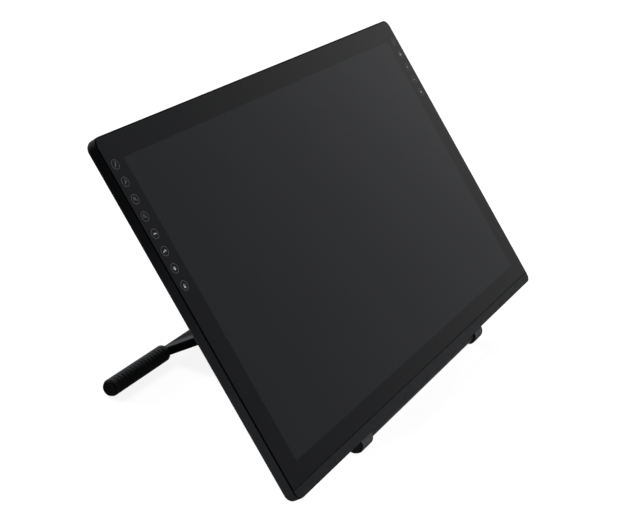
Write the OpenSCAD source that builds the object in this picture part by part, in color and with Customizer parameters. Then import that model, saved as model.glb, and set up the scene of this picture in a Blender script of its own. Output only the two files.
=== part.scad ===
// Pen display: a drawing tablet with a built-in screen, leaning on a folding stand.
// Millimetres, +Z up, the user sits on the -Y side. The desk is the plane z = 0, and the origin
// is the middle of the footprint on it.
// Tablet pieces are drawn in the tablet's own frame: x to the right, y into the screen, z up the
// screen, from the centre of the lit area on the front of the glass. Leg pieces are drawn in the
// leg's own frame: y along the leg from the hinge axis to the rear bar, z square to its upper face.

/* [Posture] */
// Angle by which the tablet leans back from upright
lean = 33.7; // [25:0.1:45]

/* [Screen] */
// Width of the lit area
active_w = 476.6; // [420:0.1:540]
// Height of the lit area
active_h = 268.1; // [240:0.1:310]
// Thickness of the screen cell
cell_t = 1.4; // [0.8:0.1:3]
// How far the screen cell reaches past the lit area
cell_margin = 4; // [2:0.5:5]
// Thickness of the backlight tray
tray_t = 5.7; // [3:0.1:8]
// How far the tray reaches past the screen cell
tray_lip = 1; // [0.5:0.25:2]
// Thickness of the pen sensor board
sensor_t = 0.8; // [0.5:0.1:1.6]
// How far the pen sensor board stays inside the tray's outline
sensor_inset = 1; // [0.5:0.5:4]
// Thickness of the shield sheet
shield_t = 0.3; // [0.2:0.1:1]

/* [Front glass] */
// Thickness of the cover glass
glass_t = 1.6; // [1:0.1:3]
// Border beside the lit area
bezel_side = 22; // [20:0.1:30]
// Border above the lit area
bezel_top = 20.5; // [18:0.1:30]
// Border below the lit area
bezel_bottom = 16.2; // [14:0.1:24]
// Corner radius of the front
corner_r = 4.5; // [3:0.5:12]

/* [Bottom trim] */
// Height of the trim strip under the glass
trim_h = 7.1; // [6:0.1:12]
// Width of the line between glass and trim
trim_gap = 0.5; // [0.3:0.1:1]
// Thickness of the rib that seats the trim in the frame
rib_t = 1.2; // [0.8:0.1:2]
// Depth of the rib
rib_d = 2; // [1:0.5:3]
// Distance of the rib's ends from the ends of the trim
rib_end = 20; // [10:1:40]

/* [Touch keys] */
// Distance of the row of keys from the edge of the glass
key_inset = 8.5; // [8:0.1:11]
// Distance from one key to the next
key_pitch = 15; // [12:0.5:16]
// Distance of the first key below the top of the glass
key_first = 23.1; // [18:0.1:30]
// Keys in the left row
keys_left = 8; // [4:1:9]
// Keys in the right row
keys_right = 5; // [3:1:9]
// Width of a key board
key_board_w = 10; // [8:0.5:11]
// Thickness of a key board
key_board_t = 0.6; // [0.4:0.1:1]

/* [Rear cover] */
// How far the cover's outline stands out past the glass
cover_over = 1.4; // [1.4:0.1:2]
// Wall of the rear cover
cover_wall = 1.8; // [1.5:0.1:3]
// How far the glass stands out of the cover's rim
glass_proud = 0.6; // [0.3:0.1:1]
// Thickness of the rim beside the glass
lip_t = 1; // [0.8:0.1:1.1]
// Round of the cover's back edge
cover_edge_r = 4; // [2:0.5:5]
// Depth of the bulge on the back
bulge_depth = 11.3; // [11:0.1:18]
// Width of the bulge's flat top
bulge_w = 280; // [250:1:340]
// Height of the bulge's flat top
bulge_h = 204; // [190:1:220]
// Place of the bulge's middle, above the centre of the lit area
bulge_mid = -2; // [-8:1:2]
// Spread of the bulge's sloping sides
bulge_slope = 12; // [8:1:20]
// Corner radius of the bulge's flat top
bulge_corner_r = 14; // [8:1:24]
// Vent slots in each group
vent_count = 8; // [4:1:9]
// Width of a vent slot
vent_w = 3; // [2:0.5:4]
// Length of a vent slot
vent_len = 16; // [10:1:20]
// Distance from one vent slot to the next
vent_pitch = 8; // [6:0.5:9]
// Distance of the innermost vent slot from the middle
vent_start = 66; // [60:1:70]
// Distance of the vents below the bulge's top edge
vent_drop = 8; // [6:1:12]

/* [Case screws] */
// Distance of the case screws from the cover's outline
case_screw_inset = 9.7; // [9:0.1:11]
// Distance of the end screws from the top and bottom of the cover
case_screw_end = 28; // [24:1:50]
// Shank radius of a case screw
case_screw_r = 1; // [0.8:0.1:1.2]
// Shank length of a case screw
case_screw_len = 5.6; // [4:0.1:6]
// Head radius of a case screw
case_head_r = 2.4; // [2:0.1:3]
// Head height of a case screw
case_head_t = 1; // [0.6:0.1:1.2]

/* [Main board and ports] */
// Width of the main board
board_w = 158; // [120:1:180]
// Height of the main board
board_h = 58; // [54:1:60]
// Thickness of the main board
board_t = 1.6; // [1:0.1:2]
// Length of the bosses that carry the main board
board_boss_len = 7.6; // [7.4:0.1:8.5]
// Radius of those bosses
board_boss_r = 3; // [2.5:0.5:4]
// Radius of the stakes on the bosses
stake_r = 1.2; // [1:0.1:1.5]
// Distance of the bosses from the edges of the board
stake_inset = 5; // [4.5:0.5:8]
// Distance of the port wall from the middle of the tablet
port_wall_x = 100; // [90:1:110]
// Length of the port bay
bay_len = 54; // [50:1:60]
// Height of the bay's floor above the flat back of the cover
bay_floor = 1; // [0.5:0.1:2]
// Place of the bay's middle, above the centre of the lit area
bay_mid = -63; // [-66:1:-62]
// Distance from one port to the next
port_pitch = 17; // [15:0.5:19]
// Width of the picture port
hdmi_w = 15; // [14:0.5:16]
// Height of the picture port
hdmi_h = 5.6; // [5:0.1:7]
// Depth of the picture port
hdmi_d = 12; // [10:0.5:14]
// Width of the data port
usb_w = 9; // [8.5:0.1:10]
// Height of the data port
usb_h = 3.4; // [3.2:0.1:4]
// Depth of the data port
usb_d = 8; // [7:0.5:10]
// Width and height of the power inlet
inlet_w = 7; // [6.5:0.1:7.2]
// Depth of the power inlet
inlet_d = 13; // [11:0.5:15]
// Radius of the power inlet's socket
inlet_r = 2.75; // [2.5:0.05:3]
// Radius of the pin in the power inlet
inlet_pin_r = 0.85; // [0.6:0.05:1.2]
// Wall of the metal port shells
port_wall = 0.5; // [0.4:0.05:0.7]
// Thickness of the tongue in the ports
tongue_t = 1; // [0.6:0.1:1.4]
// Distance of the tongue's edges from the sides of the mouth
tongue_inset = 2; // [1:0.1:3]

/* [Stand fixing] */
// Place of the fixing pattern's middle, above the centre of the lit area
fix_mid = 25; // [24:1:30]
// Side of the square of screws that hold the stand
stand_pitch = 75; // [70:1:76]
// Side of the free square of threaded holes
arm_pitch = 100; // [100:1:104]
// Outer radius of a threaded insert
insert_r = 2.8; // [2.5:0.1:3]
// Core radius of a threaded insert
insert_core_r = 1.65; // [1.4:0.05:2]
// Length of a threaded insert
insert_len = 6; // [4:0.5:7]
// Radius of the boss round an insert
insert_boss_r = 5; // [4.5:0.1:5]
// Floor of the boss under an insert
insert_boss_floor = 1.2; // [0.8:0.1:2]
// Shank radius of a stand screw
stand_screw_r = 1.6; // [1.2:0.05:1.62]
// Shank length of a stand screw
stand_screw_len = 8.5; // [6:0.5:9]
// Head radius of a stand screw
stand_head_r = 3.6; // [3:0.1:4]
// Head height of a stand screw
stand_head_t = 2.4; // [1.5:0.1:3]

/* [Stand plate] */
// Thickness of the stand plate
plate_t = 3.5; // [3:0.1:4]
// Width of the tongue that is screwed to the tablet
tongue_w = 92; // [86:1:92]
// How far the tongue reaches past the upper screws
tongue_end = 12; // [9:0.5:16]
// Corner radius of the plate
plate_corner_r = 8; // [4:1:12]
// Height of the plate's shoulders above the hinge axis
shoulder_up = 9.3; // [9:0.1:10]

/* [Hinge] */
// Distance of the hinge axis behind the stand plate
hinge_off = 13.3; // [13:0.1:18]
// Place of the hinge axis, above the centre of the lit area
hinge_z = -45.3; // [-52:0.1:-45]
// Radius of the hinge shaft
shaft_r = 4; // [3:0.1:5]
// Thickness of a hinge ear
ear_t = 5; // [4:0.5:7]
// Radius of a hinge ear round the shaft
ear_r = 9; // [8:0.1:10]
// Length of an ear's foot on the plate
ear_foot = 36; // [26:1:44]
// Radius of the leg's hinge barrel
barrel_r = 9; // [7:0.1:10]
// Thickness of a friction washer
washer_t = 0.9; // [0.5:0.1:1.5]
// Radius of a friction washer
washer_r = 8; // [7:0.1:9]
// Thickness of a disc spring
disc_t = 1; // [0.6:0.1:1.6]
// Thickness of a lock nut
nut_t = 4; // [3:0.1:6]
// Radius of a lock nut to its corners
nut_r = 7.5; // [6.5:0.1:9]
// How far the shaft stands out of a lock nut
shaft_end = 1; // [0.5:0.1:3]
// Radius of the brake drum
drum_r = 8; // [6.5:0.1:9]
// Width of the brake drum
drum_w = 24; // [18:1:30]

/* [Leg] */
// Length of the leg, from the hinge axis to the rear bar
leg_len = 184; // [170:1:210]
// Width of the leg
leg_w = 109; // [100:1:130]
// Thickness of the leg
leg_t = 10; // [9:0.5:12]
// Round of the leg's long edges
leg_edge_r = 3.5; // [2:0.5:4.4]
// Room beside the brake drum in the leg
notch_gap = 1; // [0.6:0.1:2]
// Reach of the drum's notch along the leg, past the drum
notch_reach = 6; // [4:0.5:8]

/* [Rear bar] */
// Radius of the rear rod
rear_rod_r = 3.5; // [2.5:0.1:4]
// Radius of a rear sleeve
sleeve_r = 8.3; // [7:0.1:10]
// Length of a rear sleeve
sleeve_len = 89; // [60:1:110]
// Round of a rear sleeve's inner end
sleeve_inner_round = 3; // [1:0.5:4]
// Round of a rear sleeve's outer end
sleeve_outer_round = 1; // [0.5:0.5:3]
// Thickness of an end cap
cap_t = 2; // [1:0.1:3]
// How far an end cap stays inside the outline of its sleeve
cap_inset = 1.1; // [0.9:0.1:3]
// Radius of an end cap's stem
stem_r = 1.5; // [1:0.1:2]
// Length of an end cap's stem
stem_len = 8; // [5:0.5:12]

/* [Front bar] */
// Distance of the front bar's axis below the trim
bar_drop = 5.1; // [3:0.1:8]
// Depth of the seat that the bar has in the stand plate
bar_bite = 1.6; // [1:0.1:2.4]
// Radius of the front bar
bar_r = 5.6; // [4.5:0.1:6]
// Radius of a front foot
foot_r = 8.4; // [7:0.1:9]
// Length of a front foot
foot_len = 19; // [14:1:30]
// Distance between the outer faces of the front end caps
foot_span = 278; // [200:1:320]
// Round of a front foot's ends
foot_round = 1.2; // [0.6:0.1:2.4]
// Depth of the flat that the feet and sleeves have on the desk
foot_flat = 0.4; // [0.2:0.1:0.8]

/* [Release lever] */
// Distance of the lever's pivot from the hinge axis, along the leg
lever_back = 22; // [21:0.5:26]
// Distance of the pivot below the leg
lever_drop = 6; // [5.8:0.1:7]
// Radius of the lever's hub
hub_r = 5; // [4.6:0.1:5.4]
// Room beside the lever in the drum's notch
lever_side = 2; // [1:0.5:4]
// Length of the lever's arm
arm_len = 56; // [40:1:80]
// Thickness of the lever's arm
arm_t = 4; // [3:0.5:5]
// Angle between the arm and the leg
lever_splay = 9; // [8.5:0.5:12]
// How far the brake shoe reaches past the drum's middle
shoe_nose = 3; // [1:0.5:4]
// Thickness of the brake shoe under the drum
shoe_t = 5; // [4:0.1:5.2]
// Gap between the shoe and the drum
shoe_gap = 0.3; // [0.2:0.1:0.6]
// Room between the shoe and the leg
shoe_room = 1.5; // [0.8:0.1:2]
// Radius of the lever's pin
lever_pin_r = 2; // [1.5:0.1:2.4]
// Thickness of the lugs that hold the pin
lug_t = 4; // [3:0.5:6]
// Gap between the lever and the lugs
lug_gap = 1; // [0.3:0.1:1.5]
// Outer radius of the return spring
spring_r = 3.9; // [3.5:0.1:4]
// Length of the return spring
spring_len = 8; // [5:0.5:10]

/* [Clearances] */
// Radial clearance of a pin or shaft in its bore
fit_gap = 0.05; // [0.02:0.01:0.1]
// Clearance between seated pieces
seat_gap = 0.1; // [0.05:0.05:0.3]
// Clearance round loose inner pieces
loose_gap = 0.4; // [0.2:0.1:0.8]

/* [Hidden] */
$fn = 64;
// Facet count where a round is part of a blended shape
blend_fn = 32;
// Overshoot of every cutting shape
over = 1;
// Thickness of a layer that a blended shape is stretched between
skin = 0.05;

sides = [-1, 1];
corners = [[-1, -1], [1, -1], [1, 1], [-1, 1]];
side_names = ["left", "right"];

// Front outline, in the tablet's frame
glass_x = active_w / 2 + bezel_side;
glass_top = active_h / 2 + bezel_top;
glass_bottom = -active_h / 2 - bezel_bottom;
trim_top = glass_bottom - trim_gap;
trim_bottom = trim_top - trim_h;

// Depths in the tablet, from the front face
cell_back = glass_t + cell_t;
tray_back = cell_back + tray_t;
sensor_back = tray_back + sensor_t;
shield_back = sensor_back + shield_t;
floor_in = shield_back + seat_gap;
cover_front = glass_proud;
cover_back = floor_in + cover_wall;
bulge_back = cover_back + bulge_depth;
cavity_back = bulge_back - cover_wall;
board_back = cavity_back - board_boss_len;
board_front = board_back - board_t;

// Outlines inside the tablet
cover_x = glass_x + cover_over;
cover_top = glass_top + cover_over;
cover_bottom = trim_bottom - cover_over;
frame_in = cover_wall + seat_gap;
cell_x = active_w / 2 + cell_margin;
cell_z = active_h / 2 + cell_margin;
tray_x = cell_x + tray_lip;
tray_z = cell_z + tray_lip;
bulge_x = bulge_w / 2;
bulge_bottom = bulge_mid - bulge_h / 2;
bulge_top = bulge_mid + bulge_h / 2;

// Touch key boards
key_x = glass_x - key_inset;
key_top = glass_top - key_first;
key_counts = [keys_left, keys_right];

// Case screws: three down each side
case_screw_x = cover_x - case_screw_inset;
case_screw_zs = [cover_bottom + case_screw_end, (cover_bottom + cover_top) / 2, cover_top - case_screw_end];
case_screws = [for (s = sides) for (z = case_screw_zs) [s * case_screw_x, z]];
case_seat = cover_back - case_head_t;

// Main board and ports
board_right = port_wall_x - cover_wall - seat_gap;
board_left = board_right - board_w;
board_bottom = bay_mid - board_h / 2;
board_top = bay_mid + board_h / 2;
stakes = [
    for (x = [board_left + stake_inset, board_right - stake_inset])
        for (z = [board_bottom + stake_inset, board_top - stake_inset]) [x, z]
];
// Ports as width along the wall, height, depth, and place along the wall
inlet = [inlet_w, inlet_w, inlet_d, bay_mid - port_pitch];
hdmi = [hdmi_w, hdmi_h, hdmi_d, bay_mid];
usb = [usb_w, usb_h, usb_d, bay_mid + port_pitch];
ports = [inlet, hdmi, usb];

// Stand plate and hinge, in the tablet's frame
plate_front = bulge_back;
plate_back = plate_front + plate_t;
hinge_y = plate_back + hinge_off;
bar_y = plate_front + bar_bite - bar_r;
bar_z = trim_bottom - bar_drop;
barrel_x = leg_w / 2;
ear_x = barrel_x + washer_t + 2 * fit_gap;
plate_x = ear_x + ear_t;
shoulder_z = hinge_z + shoulder_up;
tongue_top = fix_mid + stand_pitch / 2 + tongue_end;
disc_x = plate_x + fit_gap;
nut_x = disc_x + disc_t + fit_gap;
shaft_x = nut_x + nut_t + shaft_end;

// Standing places: the lean carries tablet points to the desk, and the leg closes the triangle
function leaned(p) = [p[0] * cos(lean) + p[1] * sin(lean), p[1] * cos(lean) - p[0] * sin(lean)];
bar_at = leaned([bar_y, bar_z]);
hinge_at = leaned([hinge_y, hinge_z]);
desk_at = bar_at[1] - foot_r + foot_flat;
leg_fall = asin((hinge_at[1] - desk_at - sleeve_r + foot_flat) / leg_len);
rear_at = hinge_at[0] + leg_len * cos(leg_fall);
front_edge = leaned([cover_front, cover_bottom])[0];
shift_y = -(front_edge + rear_at + sleeve_r) / 2;
shift_z = -desk_at;

// Rear bar, along x
sleeve_start = barrel_x + seat_gap;
sleeve_end = sleeve_start + sleeve_len;
// Front bar, along x
bar_end = foot_span / 2 - cap_t;
foot_start = bar_end - foot_len;

// Release lever, in the leg's frame
lever_z = -leg_t / 2 - lever_drop;
shoe_top = -leg_t / 2 - shoe_room;
shoe_bottom = -drum_r - shoe_gap - shoe_t;
notch_w = drum_w + 2 * notch_gap;
notch_end = drum_r + notch_reach;
lever_w = notch_w - 2 * lever_side;
lug_x = lever_w / 2 + lug_gap;
pin_x = lug_x + lug_t;
spring_start = lever_w / 2 - spring_len - seat_gap;

// Carries a piece from the tablet's frame to its standing place
module on_tablet() {
    translate([0, shift_y, shift_z]) rotate([-lean, 0, 0]) children();
}

// Carries a piece from the leg's frame to its standing place
module on_leg() {
    translate([0, hinge_at[0] + shift_y, hinge_at[1] + shift_z]) rotate([-leg_fall, 0, 0]) children();
}

// Turns a piece drawn for the right side into the one for the given side
module on_side(side) {
    mirror([side < 0 ? 1 : 0, 0, 0]) children();
}

// Outline drawn in x and z, given a thickness from y0 to y1
module slab(y0, y1) {
    translate([0, y1, 0]) rotate([90, 0, 0]) linear_extrude(y1 - y0) children();
}

// Outline drawn in y and z, given a width from x0 to x1
module wide(x0, x1) {
    translate([x0, 0, 0]) rotate([90, 0, 90]) linear_extrude(x1 - x0) children();
}

// Round bar along x
module rod(x0, x1, r) {
    translate([x0, 0, 0]) rotate([0, 90, 0]) cylinder(h = x1 - x0, r = r);
}

// Round bar along y
module peg(y0, y1, r) {
    translate([0, y1, 0]) rotate([90, 0, 0]) cylinder(h = y1 - y0, r = r);
}

// Flat ring along x
module ring(x0, x1, outer, inner) {
    difference() {
        rod(x0, x1, outer);
        rod(x0 - over, x1 + over, inner);
    }
}

// Solid turned about x: the outline gives distance along x and radius
module turned() {
    rotate([0, 90, 0]) rotate_extrude() rotate(90) mirror([0, 1]) children();
}

// Rectangle between two corners
module rect(x0, x1, z0, z1) {
    translate([x0, z0]) square([x1 - x0, z1 - z0]);
}

// Rectangle with round corners
module round_rect(x0, x1, z0, z1, r) {
    rect(x0 + r, x1 - r, z0, z1);
    rect(x0, x1, z0 + r, z1 - r);
    for (x = [x0 + r, x1 - r], z = [z0 + r, z1 - r]) translate([x, z]) circle(r);
}

// Front outline of glass and trim together
module front_outline() {
    round_rect(-glass_x, glass_x, trim_bottom, glass_top, corner_r);
}

// Outline of the rear cover, drawn in by a distance
module cover_outline(inset) {
    r = max(corner_r + cover_over - inset, over);
    round_rect(-cover_x + inset, cover_x - inset, cover_bottom + inset, cover_top - inset, r);
}

// Outline of the bulge, spread by a distance
module bulge_outline(spread) {
    r = bulge_corner_r + spread;
    round_rect(-bulge_x - spread, bulge_x + spread, bulge_bottom - spread, bulge_top + spread, r);
}

// Middle of a square pattern's holes
module at_square(pitch) {
    for (c = corners) translate([c[0] * pitch / 2, 0, fix_mid + c[1] * pitch / 2]) children();
}

// Glass, trim and frame

module cover_glass() {
    color("#1b1c1e") on_tablet() slab(0, glass_t) intersection() {
        front_outline();
        rect(-glass_x, glass_x, glass_bottom, glass_top);
    }
}

module bottom_trim() {
    rib_z = (trim_top + trim_bottom) / 2;
    color("#2e2f31") on_tablet() {
        slab(0, glass_t) intersection() {
            front_outline();
            rect(-glass_x, glass_x, trim_bottom, trim_top);
        }
        slab(glass_t, glass_t + rib_d)
            rect(-glass_x + rib_end, glass_x - rib_end, rib_z - rib_t / 2, rib_z + rib_t / 2);
    }
}

module mid_frame() {
    rib_z = (trim_top + trim_bottom) / 2;
    groove_x = glass_x - rib_end + seat_gap;
    groove_z = rib_t / 2 + seat_gap;
    window_x = tray_x + loose_gap;
    window_z = tray_z + loose_gap;
    color("#151617") on_tablet() difference() {
        slab(glass_t, floor_in - seat_gap) cover_outline(frame_in);
        slab(glass_t - over, floor_in + over) rect(-window_x, window_x, -window_z, window_z);
        slab(glass_t - over, glass_t + rib_d + seat_gap)
            rect(-groove_x, groove_x, rib_z - groove_z, rib_z + groove_z);
        for (i = [0, 1]) key_pocket(sides[i], key_counts[i]);
        for (p = case_screws) translate([p[0], 0, p[1]])
            peg(case_seat - case_screw_len - seat_gap, floor_in + over, case_screw_r + fit_gap);
    }
}

// Space that a key board lies in
module key_pocket(side, count) {
    slab(glass_t - over, glass_t + key_board_t + seat_gap) key_board_outline(side, count, seat_gap);
}

module key_board_outline(side, count, grow) {
    half = key_board_w / 2 + grow;
    bottom = key_top - (count - 1) * key_pitch - key_pitch / 2 - grow;
    rect(side * key_x - half, side * key_x + half, bottom, key_top + key_pitch / 2 + grow);
}

module key_board(side, count) {
    color("#24402c") on_tablet() slab(glass_t, glass_t + key_board_t) key_board_outline(side, count, 0);
}

// Screen stack behind the glass

module screen_cell() {
    color("#33363a") on_tablet() slab(glass_t, cell_back) rect(-cell_x, cell_x, -cell_z, cell_z);
}

module backlight_tray() {
    color("#b9bcc0") on_tablet() slab(cell_back, tray_back) rect(-tray_x, tray_x, -tray_z, tray_z);
}

module sensor_outline() {
    rect(-tray_x + sensor_inset, tray_x - sensor_inset, -tray_z + sensor_inset, tray_z - sensor_inset);
}

module sensor_board() {
    color("#1f4a33") on_tablet() slab(tray_back, sensor_back) sensor_outline();
}

module shield_sheet() {
    color("#8d9196") on_tablet() slab(sensor_back, shield_back) sensor_outline();
}

// Rear cover

// Cover with a round back edge, stretched over slabs that are deeper the further they are drawn in
module cover_block() {
    hull() for (a = [0 : 30 : 90])
        slab(cover_front, cover_back - cover_edge_r * (1 - sin(a)))
            cover_outline(cover_edge_r * (1 - cos(a)), $fn = blend_fn);
}

// Bulge with sloping sides, which run on a little into the cover
module bulge_block() {
    hull() {
        slab(cover_back - over, cover_back - over + skin)
            bulge_outline(bulge_slope * (1 + over / bulge_depth), $fn = blend_fn);
        slab(cover_back - over, bulge_back) bulge_outline(0, $fn = blend_fn);
    }
}

// Room for the electronics, which leaves a wall round the port bay
module cavity() {
    difference() {
        slab(floor_in - over, cavity_back) bulge_outline(-cover_wall);
        translate([port_wall_x - cover_wall, floor_in - 2 * over, bay_mid - bay_len / 2 - cover_wall])
            cube([bulge_x, bulge_back, bay_len + 2 * cover_wall]);
    }
}

// Bay cut into the bulge, open to the side and to the back, where the plugs go in
module port_bay() {
    translate([port_wall_x, cover_back + bay_floor, bay_mid - bay_len / 2])
        cube([bulge_x + bulge_slope, bulge_depth, bay_len]);
}

// Body of a port, grown by a clearance, with its face flush with the port wall
module port_block(p, grow) {
    translate([port_wall_x - p[2], board_back, p[3] - p[0] / 2 - grow])
        cube([p[2] + (grow > 0 ? over : 0), p[1] + grow, p[0] + 2 * grow]);
}

module vents() {
    for (s = sides, i = [0 : vent_count - 1])
        translate([s * (vent_start + i * vent_pitch) - vent_w / 2, 0, bulge_top - vent_drop - vent_len])
            translate([0, cavity_back - over, 0]) cube([vent_w, cover_wall + 2 * over, vent_len]);
}

module rear_cover() {
    color("#1d1e20") on_tablet() difference() {
        union() {
            difference() {
                union() {
                    cover_block();
                    bulge_block();
                }
                slab(cover_front - over, floor_in) cover_outline(cover_wall);
                slab(cover_front - over, glass_t + seat_gap) cover_outline(lip_t);
                cavity();
                port_bay();
            }
            for (pitch = [stand_pitch, arm_pitch]) at_square(pitch)
                peg(bulge_back - insert_len - insert_boss_floor, cavity_back + over, insert_boss_r);
            for (p = stakes) translate([p[0], 0, p[1]]) {
                peg(board_back, cavity_back + over, board_boss_r);
                peg(board_front, board_back + over, stake_r);
            }
        }
        for (pitch = [stand_pitch, arm_pitch]) at_square(pitch)
            peg(bulge_back - insert_len - seat_gap, bulge_back + over, insert_r + fit_gap);
        for (p = case_screws) translate([p[0], 0, p[1]]) {
            peg(floor_in - over, cover_back + over, case_screw_r + seat_gap);
            peg(case_seat, cover_back + over, case_head_r + seat_gap);
        }
        for (p = ports) port_block(p, seat_gap);
        vents();
    }
}

module case_screw(i) {
    p = case_screws[i];
    color("#3a3b3d") on_tablet() translate([p[0], 0, p[1]]) {
        peg(case_seat, cover_back, case_head_r);
        peg(case_seat - case_screw_len, case_seat, case_screw_r);
    }
}

// Main board and ports

module main_board() {
    color("#1f5a3a") on_tablet() difference() {
        slab(board_front, board_back) rect(board_left, board_right, board_bottom, board_top);
        for (p = stakes) translate([p[0], 0, p[1]])
            peg(board_front - over, board_back + over, stake_r + seat_gap);
    }
}

// Metal shell with an open mouth and a tongue in it
module socket(p) {
    mouth = [p[2] - port_wall, p[1] - 2 * port_wall, p[0] - 2 * port_wall];
    contact_w = mouth[2] - 2 * tongue_inset;
    color("#a9acb0") on_tablet() {
        difference() {
            port_block(p, 0);
            translate([port_wall_x - mouth[0], board_back + port_wall, p[3] - mouth[2] / 2])
                cube([mouth[0] + over, mouth[1], mouth[2]]);
        }
        translate([port_wall_x - mouth[0], board_back + (p[1] - tongue_t) / 2, p[3] - contact_w / 2])
            cube([mouth[0] - port_wall, tongue_t, contact_w]);
    }
}

module hdmi_port() {
    socket(hdmi);
}

module usb_port() {
    socket(usb);
}

module power_inlet() {
    color("#26272a") on_tablet() {
        difference() {
            port_block(inlet, 0);
            translate([0, board_back + inlet_w / 2, inlet[3]])
                rod(port_wall_x - inlet_d + port_wall, port_wall_x + over, inlet_r);
        }
        translate([0, board_back + inlet_w / 2, inlet[3]])
            rod(port_wall_x - inlet_d + port_wall, port_wall_x - port_wall, inlet_pin_r);
    }
}

// Fixings of the stand

module insert(pitch, i) {
    c = corners[i];
    color("#b08d4a") on_tablet() translate([c[0] * pitch / 2, 0, fix_mid + c[1] * pitch / 2]) difference() {
        peg(bulge_back - insert_len, bulge_back, insert_r);
        peg(bulge_back - insert_len - over, bulge_back + over, insert_core_r);
    }
}

module stand_screw(i) {
    c = corners[i];
    color("#3a3b3d") on_tablet() translate([c[0] * stand_pitch / 2, 0, fix_mid + c[1] * stand_pitch / 2]) {
        peg(plate_back, plate_back + stand_head_t, stand_head_r);
        peg(plate_back - stand_screw_len, plate_back, stand_screw_r);
    }
}

// Stand plate with its two ears, and the front bar that is welded into its lower edge

module ear_outline() {
    polygon([
        [plate_back - skin, hinge_z - ear_foot + shoulder_up],
        [plate_back - skin, shoulder_z],
        [hinge_y, hinge_z + ear_r],
        [hinge_y, hinge_z - ear_r]
    ]);
    translate([hinge_y, hinge_z]) circle(ear_r);
}

module stand_plate() {
    tongue_x = tongue_w / 2;
    color("#2a2b2d") on_tablet() difference() {
        union() {
            slab(plate_front, plate_back) {
                round_rect(-plate_x, plate_x, bar_z, shoulder_z, plate_corner_r);
                rect(-plate_x, plate_x, bar_z, bar_z + plate_corner_r);
                round_rect(-tongue_x, tongue_x, bar_z, tongue_top, plate_corner_r);
            }
            for (s = sides) wide(min(s * ear_x, s * plate_x), max(s * ear_x, s * plate_x)) ear_outline();
        }
        translate([0, hinge_y, hinge_z]) rod(-plate_x - over, plate_x + over, shaft_r + fit_gap);
        translate([0, bar_y, bar_z]) rod(-plate_x - over, plate_x + over, bar_r + fit_gap);
        at_square(stand_pitch) peg(plate_front - over, plate_back + over, stand_screw_r + loose_gap);
    }
}

module front_bar() {
    color("#4a4c4f") on_tablet() translate([0, bar_y, bar_z]) difference() {
        rod(-bar_end, bar_end, bar_r);
        for (s = sides) on_side(s)
            rod(bar_end - stem_len - seat_gap, bar_end + over, stem_r + fit_gap);
    }
}

// Half outline of a rubber sleeve with rounded ends, as distance along x and radius
module sleeve_outline(x0, x1, r, bore, round0, round1) {
    rect(x0 + round0, x1 - round1, bore, r);
    rect(x0, x1, bore, r - max(round0, round1));
    rect(x0, x0 + round0, bore, r - round0);
    rect(x1 - round1, x1, bore, r - round1);
    intersection() {
        rect(x0, x1, bore, r);
        union() {
            translate([x0 + round0, r - round0]) circle(round0);
            translate([x1 - round1, r - round1]) circle(round1);
        }
    }
}

// Everything below the desk, to cut the flats that the rubber stands on
module below_desk() {
    reach = 2 * active_w;
    translate([-reach / 2, -reach / 2, -reach]) cube(reach);
}

module front_foot(side) {
    color("#3c3d3f") difference() {
        on_tablet() translate([0, bar_y, bar_z]) on_side(side)
            turned() sleeve_outline(foot_start, bar_end, foot_r, bar_r + fit_gap, foot_round, foot_round);
        below_desk();
    }
}

// Round cap on the end of a bar, with a stem in the bar's end
module end_cap(side, x, r) {
    on_side(side) {
        rod(x, x + cap_t, r);
        rod(x - stem_len, x, stem_r);
    }
}

module front_cap(side) {
    color("#0f1011") on_tablet() translate([0, bar_y, bar_z]) end_cap(side, bar_end, foot_r - cap_inset);
}

// Hinge

module hinge_shaft() {
    color("#8f9398") on_tablet() translate([0, hinge_y, hinge_z]) rod(-shaft_x, shaft_x, shaft_r);
}

module brake_drum() {
    color("#6d7074") on_tablet() translate([0, hinge_y, hinge_z])
        ring(-drum_w / 2, drum_w / 2, drum_r, shaft_r + fit_gap);
}

// Ring on the hinge axis, on one side, from x to x + t
module hinge_ring(side, x, t, outer) {
    on_tablet() translate([0, hinge_y, hinge_z]) on_side(side)
        ring(x, x + t, outer, shaft_r + fit_gap);
}

module friction_washer(side) {
    color("#d8d6cf") hinge_ring(side, barrel_x + fit_gap, washer_t, washer_r);
}

module disc_spring(side) {
    color("#8a8d91") hinge_ring(side, disc_x, disc_t, washer_r);
}

module lock_nut(side) {
    color("#6f7276") on_tablet() translate([0, hinge_y, hinge_z]) on_side(side) difference() {
        translate([nut_x, 0, 0]) rotate([0, 90, 0]) cylinder(h = nut_t, r = nut_r, $fn = 6);
        rod(nut_x - over, nut_x + nut_t + over, shaft_r + fit_gap);
    }
}

// Rear leg with its barrel, the notch for the drum and the lugs for the lever

module leg_plate() {
    end_r = leg_t / 2;
    intersection() {
        slab(0, leg_len + end_r) round_rect(-barrel_x, barrel_x, -end_r, end_r, leg_edge_r);
        wide(-barrel_x, barrel_x) {
            rect(0, leg_len, -end_r, end_r);
            translate([leg_len, 0]) circle(end_r);
        }
    }
}

module lever_lugs() {
    for (s = sides) wide(min(s * lug_x, s * pin_x), max(s * lug_x, s * pin_x)) {
        rect(lever_back - hub_r, lever_back + hub_r, lever_z, -leg_t / 2 + skin);
        translate([lever_back, lever_z]) circle(hub_r);
    }
}

module rear_leg() {
    color("#2b2c2e") on_leg() difference() {
        union() {
            leg_plate();
            rod(-barrel_x, barrel_x, barrel_r);
            lever_lugs();
        }
        rod(-barrel_x - over, barrel_x + over, shaft_r + fit_gap);
        translate([0, leg_len, 0]) rod(-barrel_x - over, barrel_x + over, rear_rod_r + fit_gap);
        translate([-notch_w / 2, -barrel_r - over, -barrel_r - over])
            cube([notch_w, notch_end + barrel_r + over, 2 * (barrel_r + over)]);
        translate([0, lever_back, lever_z]) rod(-pin_x - over, pin_x + over, lever_pin_r + fit_gap);
    }
}

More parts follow.
